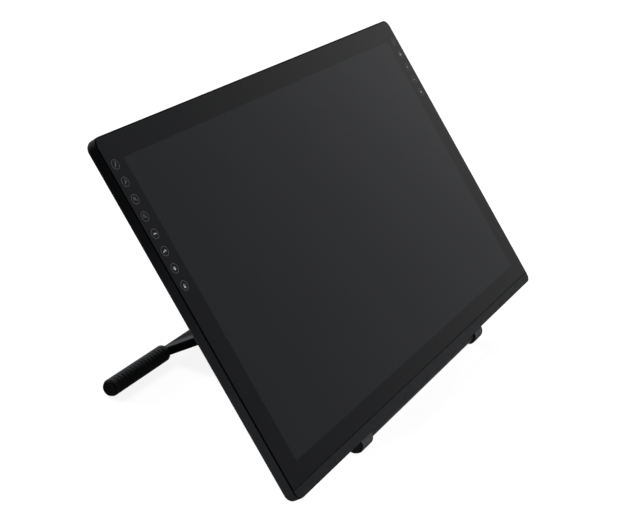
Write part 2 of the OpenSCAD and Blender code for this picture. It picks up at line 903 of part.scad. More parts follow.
module rear_rod() {
    color("#5a5c5f") on_leg() translate([0, leg_len, 0]) difference() {
        rod(-sleeve_end, sleeve_end, rear_rod_r);
        for (s = sides) on_side(s)
            rod(sleeve_end - stem_len - seat_gap, sleeve_end + over, stem_r + fit_gap);
    }
}

module rear_sleeve(side) {
    color("#2d2e30") difference() {
        on_leg() translate([0, leg_len, 0]) on_side(side) turned()
            sleeve_outline(sleeve_start, sleeve_end, sleeve_r, rear_rod_r + fit_gap,
                sleeve_inner_round, sleeve_outer_round);
        below_desk();
    }
}

module rear_cap(side) {
    color("#232426") on_leg() translate([0, leg_len, 0]) end_cap(side, sleeve_end, sleeve_r - cap_inset);
}

// Release lever

module lever_pin() {
    color("#8f9398") on_leg() translate([0, lever_back, lever_z]) rod(-pin_x, pin_x, lever_pin_r);
}

module lever_spring() {
    color("#9a9da1") on_leg() translate([0, lever_back, lever_z])
        ring(spring_start + seat_gap, lever_w / 2 - seat_gap, spring_r, lever_pin_r + fit_gap);
}

module lever_outline() {
    difference() {
        union() {
            rect(-shoe_nose, lever_back, shoe_bottom, shoe_top);
            translate([lever_back, lever_z]) {
                circle(hub_r);
                rotate(-lever_splay) {
                    rect(0, arm_len, -arm_t / 2, arm_t / 2);
                    translate([arm_len, 0]) circle(arm_t / 2);
                }
            }
        }
        circle(drum_r + shoe_gap);
    }
}

module release_lever() {
    color("#17181a") on_leg() difference() {
        wide(-lever_w / 2, lever_w / 2) lever_outline();
        translate([0, lever_back, lever_z]) {
            rod(-lever_w / 2 - over, lever_w / 2 + over, lever_pin_r + fit_gap);
            rod(spring_start, lever_w / 2 + over, spring_r + seat_gap);
        }
    }
}

cover_glass();
bottom_trim();
mid_frame();
rear_cover();
screen_cell();
backlight_tray();
sensor_board();
shield_sheet();
main_board();
hdmi_port();
usb_port();
power_inlet();
stand_plate();
front_bar();
hinge_shaft();
brake_drum();
rear_leg();
rear_rod();
lever_pin();
lever_spring();
release_lever();
for (i = [0, 1]) {
    key_board(sides[i], key_counts[i]);
    front_foot(sides[i]);
    front_cap(sides[i]);
    friction_washer(sides[i]);
    disc_spring(sides[i]);
    lock_nut(sides[i]);
    rear_sleeve(sides[i]);
    rear_cap(sides[i]);
}
for (i = [0 : len(case_screws) - 1]) {
    case_screw(i);
}
for (i = [0 : len(corners) - 1]) {
    insert(arm_pitch, i);
    insert(stand_pitch, i);
    stand_screw(i);
}
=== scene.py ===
"""Looks of a pen display on its folding stand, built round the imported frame.

Metres, +Z up, the user sits on the -Y side. Tablet pieces are drawn in the tablet's own frame:
x to the right, y into the screen, z up the screen, from the glass over the middle of the screen cell.
"""

import math

import bmesh
import bpy
from mathutils import Matrix, Vector


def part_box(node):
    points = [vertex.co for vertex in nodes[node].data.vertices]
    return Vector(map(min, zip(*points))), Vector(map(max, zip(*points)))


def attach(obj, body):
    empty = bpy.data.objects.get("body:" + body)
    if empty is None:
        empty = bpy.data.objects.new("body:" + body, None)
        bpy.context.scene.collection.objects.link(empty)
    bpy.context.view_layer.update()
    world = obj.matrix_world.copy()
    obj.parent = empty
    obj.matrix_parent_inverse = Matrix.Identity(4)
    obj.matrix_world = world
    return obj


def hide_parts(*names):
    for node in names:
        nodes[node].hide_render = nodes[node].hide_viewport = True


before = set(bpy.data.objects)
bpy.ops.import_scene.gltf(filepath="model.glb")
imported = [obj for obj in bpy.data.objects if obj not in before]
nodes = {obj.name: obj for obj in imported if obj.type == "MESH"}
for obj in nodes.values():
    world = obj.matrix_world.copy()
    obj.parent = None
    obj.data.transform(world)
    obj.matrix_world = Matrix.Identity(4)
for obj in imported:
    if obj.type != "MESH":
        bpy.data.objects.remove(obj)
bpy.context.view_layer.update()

MM = 0.001
SIDES = {"left": -1, "right": 1}

# Camera of the photograph, its place, direction and lens solved from the tablet's outline
CAMERA_AT = Vector((-1.0799, -0.5744, 0.5694))
CAMERA_AHEAD = Vector((0.8259, 0.4364, -0.3569))
CAMERA_LENS = 81.72
CAMERA_NEAR = 0.01

# Studio
WHITE = (1, 1, 1, 1)
FLOOR_GREY = (0.15, 0.15, 0.15, 1)
FLOOR_ROUGHNESS = 0.9
FLOOR_SPECULAR = 0.1
FLOOR_SEEN = 0.89
FLOOR_HALF = 4.0
FLOOR_DROP = 0.1 * MM
AMBIENT = 0.02
SKY_WIDTH = math.radians(24)

# The tablet
LEAN = math.radians(33.7)
CELL_MARGIN = 4 * MM
LIT_BLUR = 0.1 * MM
GLASS_CORNER = 6.8 * MM
GLASS_EDGE = 0.3 * MM
TRIM_EDGE = 0.3 * MM
SQUARE_CORNER = 0.4 * MM
SEAM_RISE = 0.28 * MM
TRIM_STEP = 0.1 * MM

# The rear cover
COVER_WALL = 1.8 * MM
COVER_FLOOR = 9.9 * MM
COVER_BACK = 11.7 * MM
COVER_CORNER = 8.2 * MM
COVER_ROUND = 4 * MM
LIP_T = 1 * MM
LIP_BACK = 1.7 * MM
RIM_CHAMFER = 0.15 * MM
RIM_EDGE = 0.25 * MM
BULGE_HALF_W = 140 * MM
BULGE_LOW = -104 * MM
BULGE_HIGH = 100 * MM
BULGE_CORNER = 14 * MM
BULGE_SLOPE = 12 * MM
BULGE_FOOT_ROUND = 5 * MM
BULGE_TOP_ROUND = 3 * MM
BAY_X = 100 * MM
BAY_END = BULGE_HALF_W + 3 * BULGE_SLOPE
BAY_FLOOR = 12.7 * MM
BAY_LOW = -90 * MM
BAY_HIGH = -36 * MM
VENT_COUNT = 8
VENT_W = 3 * MM
VENT_LEN = 16 * MM
VENT_PITCH = 8 * MM
VENT_START = 66 * MM
VENT_DROP = 8 * MM
# Room round what sits in a cut, and how far a cut reaches past the surface
CUT_ROOM = 0.1 * MM
CUT_OVER = 2 * MM

# Touch keys
KEY_X = 251.2 * MM
KEY_TOP = 131.45 * MM
KEY_PITCH = 15 * MM
KEY_RING = 4.1 * MM
KEY_LINE = 0.3 * MM
PRINT_T = 0.02 * MM
# Print and screen lie behind the glass, so they show a little to the left
BEHIND_SHIFT = -1 * MM

# Screws: height of the head, height of its crown, radius of the shank
CASE_SCREW = {"head_t": 1 * MM, "dome": 0.3 * MM, "shank_r": 1 * MM}
STAND_SCREW = {"head_t": 2.4 * MM, "dome": 1.2 * MM, "shank_r": 1.6 * MM}
# Tip of a screw, as shares of the radius of its shank
SHANK_TIP = 0.8
SHANK_TAPER = 0.4
# Angle at which the crown ends in a small flat
DOME_END = 85
# Cross recess: widths as shares of the head's radius, and its floor as a share of its mouth
RECESS_WIDE = 0.62
RECESS_THIN = 0.17
RECESS_FLOOR = 0.6
# How far the cut of the recess goes below and above the top, as shares of the head's height
RECESS_DEPTH = 0.75
RECESS_OVER = 0.3

# Threaded inserts
INSERT_CORE_R = 1.65 * MM
INSERT_CREST_R = 2 * MM
INSERT_PITCH = 0.7 * MM
INSERT_CHAMFER = 0.2 * MM
INSERT_LEAD_IN = 0.3 * MM
# Where each ring of the thread is widest and narrowest, as shares of the pitch
THREAD_WIDE = 0.35
THREAD_NARROW = 0.85

# Rubber and caps
RIB_PITCH = 5 * MM
RIB_LAND = 3 * MM
RIB_DEPTH = 1.1 * MM
SLEEVE_INNER_ROUND = 3 * MM
SLEEVE_OUTER_ROUND = 1 * MM
FOOT_ROUND = 1.2 * MM
FOOT_INNER_ROUND = 0.4 * MM
CAP_ROUND = 0.5 * MM
# Dish in the end of a cap, with its widths as shares of the cap's radius
DISH_DEPTH = 0.3 * MM
DISH_RIM = 0.72
DISH_FLOOR = 0.66
DISH_MIDDLE = 0.1

# Return spring of the lever
SPRING_WIRE_R = 0.45 * MM
SPRING_TURNS = 6

# Width of the painted highlight bands along the leg's two long rounded edges, and where they are full
LEG_HIGHLIGHT = 16 * MM
LEG_HIGHLIGHT_FULL = 5 * MM

# Fineness of the meshes
TURN_STEPS = 96
KEY_STEPS = 64
SCREW_STEPS = 48
CORNER_STEPS = 12
ROUND_STEPS = 8
ARC_STEPS = 14
SPRING_STEPS = 24
SPRING_SIDES = 8
BEVEL_STEPS = 2
# Angles from which an edge is broken, from which it shows as sharp, and up to which faces are one flat
BEVEL_LEAST = math.radians(30)
SHARP = math.radians(38)
FLAT = math.radians(0.3)
# Points nearer than this are made one
WELD = 1e-6


# Frames that the pieces are drawn in

def box_in(node, turn):
    """Lowest and highest corner of a node, seen in a turned frame."""
    points = [turn @ v.co for v in nodes[node].data.vertices]
    low = Vector(min(p[i] for p in points) for i in range(3))
    high = Vector(max(p[i] for p in points) for i in range(3))
    return low, high


def tablet_frame():
    """Where the tablet's own frame stands: on the glass, at the centre of the screen cell."""
    lean = Matrix.Rotation(-LEAN, 4, "X")
    glass_low, _ = box_in("cover_glass", lean.inverted())
    cell_low, cell_high = box_in("screen_cell", lean.inverted())
    middle = (cell_low + cell_high) / 2
    return lean @ Matrix.Translation((middle.x, glass_low.y, middle.z))


TABLET = tablet_frame()
WORLD = Matrix.Identity(4)


def tablet_box(node):
    return box_in(node, TABLET.inverted())


# Meshes

def ring_of(outline, y):
    """Points of an outline drawn in x and z, at a depth."""
    return [Vector((x, y, z)) for x, z in outline]


def circle(x, z, radius, steps):
    turns = [2 * math.pi * i / steps for i in range(steps)]
    return [(x + radius * math.cos(a), z + radius * math.sin(a)) for a in turns]


def rectangle(x0, x1, z0, z1):
    return [(x0, z0), (x1, z0), (x1, z1), (x0, z1)]


def round_rect(x0, x1, z0, z1, low_r, high_r):
    """Rectangle with round corners: one radius for the lower two and one for the upper two."""
    corners = [(x1 - low_r, z0 + low_r, low_r, -90), (x1 - high_r, z1 - high_r, high_r, 0),
               (x0 + high_r, z1 - high_r, high_r, 90), (x0 + low_r, z0 + low_r, low_r, 180)]
    points = []
    for x, z, radius, start in corners:
        for i in range(CORNER_STEPS + 1):
            a = math.radians(start + 90 * i / CORNER_STEPS)
            points.append((x + radius * math.cos(a), z + radius * math.sin(a)))
    return points


def loft(bm, rings, closed=False):
    """Skin over rings with the same number of points, with flat ends or joined into a loop."""
    made = [[bm.verts.new(p) for p in ring] for ring in rings]
    pairs = list(zip(made, made[1:]))
    if closed:
        pairs.append((made[-1], made[0]))
    for a, b in pairs:
        for i in range(len(a)):
            j = (i + 1) % len(a)
            bm.faces.new((a[i], a[j], b[j], b[i]))
    if not closed:
        bm.faces.new(made[0])
        bm.faces.new(list(reversed(made[-1])))
    return bm


def prism(bm, outline, y0, y1):
    """Outline drawn in x and z, with a thickness from y0 to y1."""
    loft(bm, [ring_of(outline, y0), ring_of(outline, y1)])


def block(bm, low, high):
    prism(bm, rectangle(low[0], high[0], low[2], high[2]), low[1], high[1])


def turned(x, z, profile, steps, closed=False):
    """Profile of radius and y pairs turned about the line through x and z along y."""
    return loft(bmesh.new(), [ring_of(circle(x, z, r, steps), y) for r, y in profile], closed)


def lathe(profile, centre, closed=True):
    """Profile of x and radius pairs turned about the line through centre along x."""
    turns = [2 * math.pi * i / TURN_STEPS for i in range(TURN_STEPS)]
    rings = [[Vector((x, centre[1] + r * math.cos(a), centre[2] + r * math.sin(a))) for a in turns]
             for x, r in profile]
    return loft(bmesh.new(), rings, closed)


def quarter(x, radius, round_r, start):
    """Quarter round of a turned profile, about a point given by x and radius, from a start angle."""
    angles = [math.radians(start - 90 * i / ROUND_STEPS) for i in range(ROUND_STEPS + 1)]
    return [(x + round_r * math.cos(a), radius + round_r * math.sin(a)) for a in angles]


def mirrored(bm, side):
    """Turns a piece drawn for the right side into the one for the given side."""
    if side < 0:
        bmesh.ops.scale(bm, vec=(-1, 1, 1), verts=bm.verts)
    return bm


def stand_on_desk(bm):
    """Presses what would reach below the desk flat onto it."""
    for v in bm.verts:
        v.co.z = max(v.co.z, 0)
    return bm


def link_object(name, bm):
    """Object with the mesh that was built."""
    bmesh.ops.recalc_face_normals(bm, faces=bm.faces)
    mesh = bpy.data.meshes.new(name)
    bm.to_mesh(mesh)
    bm.free()
    obj = bpy.data.objects.new(name, mesh)
    bpy.context.scene.collection.objects.link(obj)
    return obj


def carve(bm, tool, operation):
    """Joins another closed mesh to this one, or cuts it away."""
    base, other = link_object("carve_base", bm), link_object("carve_tool", tool)
    modifier = base.modifiers.new("carve", "BOOLEAN")
    modifier.operation = operation
    modifier.solver = "EXACT"
    modifier.use_self = True
    modifier.object = other
    graph = bpy.context.evaluated_depsgraph_get()
    carved = bpy.data.meshes.new_from_object(base.evaluated_get(graph))
    result = bmesh.new()
    result.from_mesh(carved)
    bpy.data.meshes.remove(carved)
    for obj in (base, other):
        bpy.data.meshes.remove(obj.data)
    bmesh.ops.remove_doubles(result, verts=result.verts, dist=WELD)
    return result


def soften(bm, width):
    """Breaks the sharp edges of a mesh by a small round."""
    edges = [e for e in bm.edges if len(e.link_faces) == 2 and e.calc_face_angle(0) > BEVEL_LEAST]
    bmesh.ops.bevel(bm, geom=edges, offset=width, offset_type="OFFSET", segments=BEVEL_STEPS,
                    profile=0.5, affect="EDGES", clamp_overlap=True)
    bmesh.ops.dissolve_degenerate(bm, dist=WELD, edges=bm.edges)


def copy_of(node):
    """Welded copy of a node's mesh, with its flat faces whole."""
    bm = bmesh.new()
    bm.from_mesh(nodes[node].data)
    bmesh.ops.remove_doubles(bm, verts=bm.verts, dist=WELD)
    bmesh.ops.dissolve_limit(bm, angle_limit=FLAT, verts=bm.verts, edges=bm.edges)
    return bm


def piece(name, bm, place, body, finish, slot, *stands_for):
    """Puts a built mesh in its place, gives it its finish and lets it ride on a body."""
    obj = link_object(name, bm)
    obj.data.materials.append(finish)
    obj.data.shade_smooth()
    obj.data.set_sharp_from_angle(angle=SHARP)
    normals = obj.modifiers.new("flat faces stay flat", "WEIGHTED_NORMAL")
    normals.keep_sharp = True
    obj.matrix_world = place
    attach(obj, body)
    if stands_for:
        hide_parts(*stands_for)


# Materials

# Sockets of a colour mix
MIX_FROM = 6
MIX_TO = 7
MIX_RESULT = 2
# Span that most of a noise lies in
NOISE_LOW = 0.3
NOISE_HIGH = 0.7
# How nearly the rounded normal agrees with the true one where rubbing starts and where it is full
RUB_STARTS = 0.995
RUB_FULL = 0.93


def colour(red, green, blue):
    """Colour written as it shows, from 0 to 255."""
    parts = [v / 255 for v in (red, green, blue)]
    return tuple(v / 12.92 if v <= 0.04045 else ((v + 0.055) / 1.055) ** 2.4 for v in parts) + (1.0,)


class Finish:
    """A material: one shader, and the nodes that vary it over the surface."""

    def __init__(self, name, base, roughness, specular, metallic=0.0):
        self.material = bpy.data.materials.new(name)
        self.material.use_nodes = True
        self.tree = self.material.node_tree
        self.shader = self.tree.nodes["Principled BSDF"]
        self.base = base
        self.set("Base Color", base)
        self.set("Roughness", roughness)
        self.set("Specular IOR Level", specular)
        self.set("Metallic", metallic)
        self.place = self.node("ShaderNodeTexCoord").outputs["Object"]
        self.normal = None

    def set(self, socket, value):
        self.shader.inputs[socket].default_value = value

    def node(self, kind, **settings):
        made = self.tree.nodes.new(kind)
        for key, value in settings.items():
            setattr(made, key, value)
        return made

    def wire(self, output, target):
        self.tree.links.new(output, target)

    def split(self, source):
        """The X, Y and Z of a vector."""
        made = self.node("ShaderNodeSeparateXYZ")
        self.wire(source, made.inputs[0])
        return made.outputs

    def noise(self, size, detail=3.0, stretch=(1, 1, 1)):
        """Soft noise with blots of about the given size, finer along the axes that are stretched."""
        scaled = self.node("ShaderNodeVectorMath", operation="MULTIPLY")
        self.wire(self.place, scaled.inputs[0])
        scaled.inputs[1].default_value = stretch
        noise = self.node("ShaderNodeTexNoise")
        noise.inputs["Scale"].default_value = 1 / size
        noise.inputs["Detail"].default_value = detail
        self.wire(scaled.outputs[0], noise.inputs["Vector"])
        return noise.outputs["Fac"]

    def ramp(self, source, low, high, to_low=0.0, to_high=1.0):
        """Stretches the span from low to high over the span from to_low to to_high."""
        made = self.node("ShaderNodeMapRange")
        made.inputs["From Min"].default_value = low
        made.inputs["From Max"].default_value = high
        made.inputs["To Min"].default_value = to_low
        made.inputs["To Max"].default_value = to_high
        self.wire(source, made.inputs["Value"])
        return made.outputs["Result"]

    def math(self, operation, a, b):
        made = self.node("ShaderNodeMath", operation=operation)
        for value, target in zip((a, b), made.inputs):
            if isinstance(value, (int, float)):
                target.default_value = value
            else:
                self.wire(value, target)
        return made.outputs[0]

    def tint(self, factor, other):
        """Blends the base colour so far towards another where the factor is high."""
        mix = self.node("ShaderNodeMix", data_type="RGBA")
        self.wire(factor, mix.inputs["Factor"])
        if isinstance(self.base, tuple):
            mix.inputs[MIX_FROM].default_value = self.base
        else:
            self.wire(self.base, mix.inputs[MIX_FROM])
        mix.inputs[MIX_TO].default_value = other
        self.base = mix.outputs[MIX_RESULT]
        self.wire(self.base, self.shader.inputs["Base Color"])
        return self

    def mottle(self, size, other, most, low=0.35, high=0.75, detail=3.0):
        """Blends blots of about the given size towards another colour."""
        return self.tint(self.ramp(self.noise(size, detail), low, high, 0, most), other)

    def rough(self, source, least, most):
        """Varies the roughness between two values."""
        spread = self.ramp(source, NOISE_LOW, NOISE_HIGH, least, most)
        self.wire(spread, self.shader.inputs["Roughness"])
        return self

    def bump(self, source, height, strength):
        made = self.node("ShaderNodeBump")
        made.inputs["Strength"].default_value = strength
        made.inputs["Distance"].default_value = height
        self.wire(source, made.inputs["Height"])
        if self.normal:
            self.wire(self.normal, made.inputs["Normal"])
        self.normal = made.outputs["Normal"]
        self.wire(self.normal, self.shader.inputs["Normal"])
        return self

    def grain(self, size, height, strength, detail=1):
        """Raises bumps of about the given size."""
        return self.bump(self.noise(size, detail), height, strength)

    def orange_peel(self):
        """Raises the low waves and the fine grain of a powder coat."""
        self.grain(1.6 * MM, 0.06 * MM, 0.5)
        return self.grain(0.4 * MM, 0.02 * MM, 0.4)

    def worn(self, radius, other, amount):
        """Rubs the edges towards another colour, in patches."""
        bevel = self.node("ShaderNodeBevel", samples=6)
        bevel.inputs["Radius"].default_value = radius
        here = self.node("ShaderNodeNewGeometry")
        match = self.node("ShaderNodeVectorMath", operation="DOT_PRODUCT")
        self.wire(bevel.outputs["Normal"], match.inputs[0])
        self.wire(here.outputs["Normal"], match.inputs[1])
        edge = self.ramp(match.outputs["Value"], RUB_STARTS, RUB_FULL, 0.0, amount)
        patches = self.ramp(self.noise(6 * MM), 0.35, 0.6)
        return self.tint(self.math("MULTIPLY", edge, patches), other)


def etched_glass():
    """Fine-etched cover glass: black print behind the border, the dark screen behind the rest."""
    _, cell_high = tablet_box("screen_cell")
    finish = Finish("etched_glass", colour(4, 5, 8), roughness=0.3, specular=0.058)
    place = finish.split(finish.place)
    inside = 1.0
    for axis, half, middle in (("X", cell_high.x - CELL_MARGIN, BEHIND_SHIFT),
                               ("Z", cell_high.z - CELL_MARGIN, 0)):
        reach = finish.math("ABSOLUTE", finish.math("SUBTRACT", place[axis], middle), 0)
        inside = finish.math("MULTIPLY", finish.ramp(reach, half + LIT_BLUR, half - LIT_BLUR), inside)
    finish.tint(inside, colour(27, 28, 31))
    finish.rough(finish.noise(60 * MM, 4), 0.29, 0.34)
    return finish.grain(0.35 * MM, 0.004 * MM, 0.5, detail=2).material


def moulded(name, base, light, roughness, specular):
    """Moulded plastic with a spark-eroded grain."""
    finish = Finish(name, base, roughness, specular)
    finish.mottle(14 * MM, light, 0.5)
    finish.mottle(0.9 * MM, light, 0.6, low=0.55, detail=1)
    finish.rough(finish.noise(5 * MM), roughness - 0.06, roughness + 0.08)
    finish.grain(0.7 * MM, 0.05 * MM, 0.6, detail=2)
    return finish.grain(0.25 * MM, 0.02 * MM, 0.5).material


def coated(name, base, light, roughness, specular):
    """Powder coat on metal: a low orange peel, rubbed on the edges."""
    finish = Finish(name, base, roughness, specular)
    finish.mottle(22 * MM, light, 0.4)
    finish.worn(1.2 * MM, light, 0.8)
    finish.rough(finish.noise(8 * MM), roughness - 0.07, roughness + 0.07)
    return finish.orange_peel().material


def leg_coat():
    """Matte powder coat of the leg, with painted highlights along its two long rounded edges and painted
    shade on its sides.
    """
    _, leg_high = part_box("rear_leg")
    finish = Finish("leg_coat", colour(34, 35, 37), roughness=0.65, specular=0.0)
    finish.mottle(22 * MM, colour(42, 43, 45), 0.4)
    from_middle = finish.math("ABSOLUTE", finish.split(finish.place)["X"], 0)
    # Painted highlight: paler bands along the leg's long rounded edges, in patches
    painted_highlight = finish.ramp(from_middle, leg_high.x - LEG_HIGHLIGHT, leg_high.x - LEG_HIGHLIGHT_FULL)
    patches = finish.ramp(finish.noise(6 * MM), 0.2, 0.5, 0.7, 1.0)
    finish.tint(finish.math("MULTIPLY", painted_highlight, patches), colour(64, 65, 67))
    # Painted shade: faces turned sideways are made darker
    facing = finish.split(finish.node("ShaderNodeNewGeometry").outputs["Normal"])
    sideways = finish.math("ABSOLUTE", facing["X"], 0)
    finish.tint(finish.ramp(sideways, 0.6, 0.9), colour(24, 25, 27))
    finish.rough(finish.noise(8 * MM), 0.58, 0.72)
    return finish.orange_peel().material


def rubber(name, base, light):
    """Matte rubber with a fine bloom on it."""
    finish = Finish(name, base, roughness=0.75, specular=0.02)
    finish.mottle(9 * MM, light, 0.5, low=0.4)
    finish.mottle(0.6 * MM, light, 0.7, low=0.58, detail=1)
    finish.rough(finish.noise(3 * MM), 0.68, 0.85)
    return finish.grain(0.5 * MM, 0.05 * MM, 0.7, detail=2).material


def turned_metal(name, base, dark, roughness, stretch=(12, 1, 1)):
    """Bright metal with fine turning marks."""
    finish = Finish(name, base, roughness, specular=0.5, metallic=1.0)
    marks = finish.noise(2 * MM, 2, stretch)
    finish.tint(finish.ramp(marks, 0.4, 0.8, 0, 0.6), dark)
    finish.mottle(4 * MM, dark, 0.5, low=0.5, high=0.8)
    finish.rough(marks, roughness - 0.08, roughness + 0.1)
    return finish.bump(marks, 0.01 * MM, 0.5).material


def circuit_board():
    """Solder mask over fine tracks."""
    finish = Finish("circuit_board", colour(22, 66, 42), roughness=0.35, specular=0.4)
    tracks = finish.node("ShaderNodeTexBrick")
    tracks.inputs["Scale"].default_value = 1 / (12 * MM)
    tracks.inputs["Mortar Size"].default_value = 0.03
    finish.wire(finish.place, tracks.inputs["Vector"])
    finish.tint(tracks.outputs["Fac"], colour(44, 104, 66))
    finish.rough(finish.noise(6 * MM), 0.3, 0.45)
    return finish.bump(tracks.outputs["Fac"], 0.03 * MM, 0.5).material


def screen_sheet(name, base, light, roughness):
    """Plain sheets of the screen stack, with the faint cloud of a rolled film."""
    finish = Finish(name, base, roughness, specular=0.4)
    finish.tint(finish.ramp(finish.noise(30 * MM, 2, (1, 1, 6)), 0.4, 0.7, 0, 0.6), light)
    return finish.rough(finish.noise(10 * MM), roughness - 0.05, roughness + 0.08).material


def print_ink(name, base, dark):
    """Screen-printed ink, a little thin in places."""
    finish = Finish(name, base, roughness=0.5, specular=0.1)
    return finish.mottle(0.5 * MM, dark, 0.5, low=0.5, high=0.8, detail=2).material


GLASS = etched_glass()
TRIM = moulded("trim_plastic", colour(21, 22, 24), colour(26, 27, 29), 0.5, 0.06)
COVER = moulded("cover_plastic", colour(26, 27, 29), colour(32, 33, 35), 0.6, 0.01)
FRAME = moulded("frame_plastic", colour(5, 5, 6), colour(8, 8, 9), 0.7, 0.01)
INLET = moulded("inlet_plastic", colour(20, 20, 22), colour(26, 26, 28), 0.4, 0.3)
PLATE = coated("plate_coat", colour(40, 41, 43), colour(56, 57, 59), 0.5, 0.1)
LEG = leg_coat()
BAR = coated("bar_coat", colour(46, 47, 49), colour(56, 57, 59), 0.5, 0.02)
LEVER = coated("lever_coat", colour(24, 25, 27), colour(44, 45, 47), 0.42, 0.1)
RUBBER = rubber("sleeve_rubber", colour(62, 63, 65), colour(72, 73, 75))
FOOT_RUBBER = rubber("foot_rubber", colour(78, 79, 81), colour(88, 89, 91))
# Painted shade: the front caps' rubber is a darker copy of the cap rubber, standing in for shade
FRONT_CAP_SHADED_RUBBER = rubber("front_cap_rubber_painted_shade", colour(13, 13, 15), colour(18, 18, 20))
CAP_RUBBER = rubber("cap_rubber", colour(34, 34, 36), colour(40, 40, 42))
STEEL = turned_metal("turned_steel", colour(132, 135, 140), colour(94, 97, 102), 0.46)
PLATED = turned_metal("plated_steel", colour(190, 192, 196), colour(140, 142, 146), 0.3, (1, 1, 8))
OXIDE = turned_metal("black_oxide", colour(62, 63, 66), colour(36, 37, 39), 0.42)
BRASS = turned_metal("turned_brass", colour(206, 170, 100), colour(150, 116, 60), 0.3, (1, 8, 1))
BOARD = circuit_board()
CELL = screen_sheet("cell_film", colour(40, 41, 44), colour(50, 51, 54), 0.3)
TRAY = screen_sheet("tray_film", colour(214, 216, 219), colour(226, 228, 230), 0.5)
SHIELD = turned_metal("shield_sheet", colour(176, 178, 182), colour(140, 142, 146), 0.35, (1, 1, 10))
WASHER = moulded("washer_plastic", colour(214, 211, 203), colour(224, 221, 214), 0.45, 0.4)
INK = print_ink("ink_grey", colour(98, 99, 102), colour(80, 81, 84))
INK_MIDDLE = print_ink("ink_middle", colour(170, 171, 174), colour(144, 145, 148))
INK_BRIGHT = print_ink("ink_bright", colour(180, 181, 184), colour(150, 151, 154))


# Glass and trim

def front_slab(outline_at, depth, edge, behind=()):
    """Slab with a rounded front edge: its outline drawn in step by step, and any rings further back."""
    angles = [math.radians(90 * i / ROUND_STEPS) for i in range(ROUND_STEPS + 1)]
    rings = [*behind, ring_of(outline_at(0), depth)]
    rings += [ring_of(outline_at(edge * (1 - math.cos(a))), edge * (1 - math.sin(a))) for a in angles]
    return loft(bmesh.new(), rings)


def make_glass():
    low, high = tablet_box("cover_glass")

    def outline(inset):
        return round_rect(low.x + inset, high.x - inset, low.z + SEAM_RISE + inset, high.z - inset,
                          SQUARE_CORNER, GLASS_CORNER - inset)

    bm = front_slab(outline, high.y, GLASS_EDGE)
    piece("glass", bm, TABLET, "tablet", GLASS, "glass", "cover_glass")


def make_trim():
    """Strip under the glass, whose front reaches down over the lip of the cover."""
    low, high = tablet_box("bottom_trim")
    cover_low, _ = tablet_box("rear_cover")
    _, glass_high = tablet_box("cover_glass")
    flange_back = cover_low.y - TRIM_STEP

    def outline(inset, bottom):
        return round_rect(low.x + inset, high.x - inset, bottom + inset, high.z + SEAM_RISE - inset,
                          GLASS_CORNER - inset, SQUARE_CORNER)

    def front(inset):
        return outline(inset, cover_low.z + TRIM_STEP)

    body = outline(TRIM_STEP, low.z)
    behind = [ring_of(body, glass_high.y), ring_of(body, flange_back)]
    bm = front_slab(front, flange_back, TRIM_EDGE, behind)
    piece("trim_strip", bm, TABLET, "tablet", TRIM, "trim", "bottom_trim")


# Printed keys, drawn in millimetres about the middle of a key

def arc(x, z, radius, start, end):
    angles = [math.radians(start + (end - start) * i / ARC_STEPS) for i in range(ARC_STEPS + 1)]
    return [(x + radius * math.cos(a), z + radius * math.sin(a)) for a in angles]


def stroke(points, width):
    """Outline of a pen line of the given width along some points."""
    left, right = [], []
    for i, (x, z) in enumerate(points):
        before, after = points[max(i - 1, 0)], points[min(i + 1, len(points) - 1)]
        dx, dz = after[0] - before[0], after[1] - before[1]
        length = math.hypot(dx, dz)
        nx, nz = -dz / length * width / 2, dx / length * width / 2
        left.append((x + nx, z + nz))
        right.append((x - nx, z - nz))
    return left + right[::-1]


LENS = (-0.5, 0.65)
LENS_R = 1.15
LENS_RING = [stroke(arc(*LENS, LENS_R, 0, 180), 0.4), stroke(arc(*LENS, LENS_R, 180, 360), 0.4),
             stroke([(0.3, -0.2), (1.6, -1.6)], 0.55)]
ACROSS = stroke([(LENS[0] - 0.5, LENS[1]), (LENS[0] + 0.5, LENS[1])], 0.3)
UPRIGHT = stroke([(LENS[0], LENS[1] - 0.5), (LENS[0], LENS[1] + 0.5)], 0.3)
HOOK = [stroke([(-0.5, 0.1), (0.6, 0.2), (1.5, -0.1), (2.2, -0.9)], 0.7),
        [(-2, 0.1), (-0.4, 1.3), (-0.5, -1.1)]]
FINGERS = ((-0.75, 1), (-0.22, 1.45), (0.3, 1.4), (0.82, 0.95))
PEN_TURN = math.radians(32)


def slanted(shape):
    """Turns an upright pen so that its top leans to the right."""
    c, s = math.cos(PEN_TURN), math.sin(PEN_TURN)
    return [(x * c + z * s, z * c - x * s) for x, z in shape]


def sparkle(points, outer, inner):
    """Star with the given number of points."""
    reach = [(outer if i % 2 == 0 else inner, math.pi * i / points) for i in range(2 * points)]
    return [(r * math.sin(a), r * math.cos(a)) for r, a in reach]


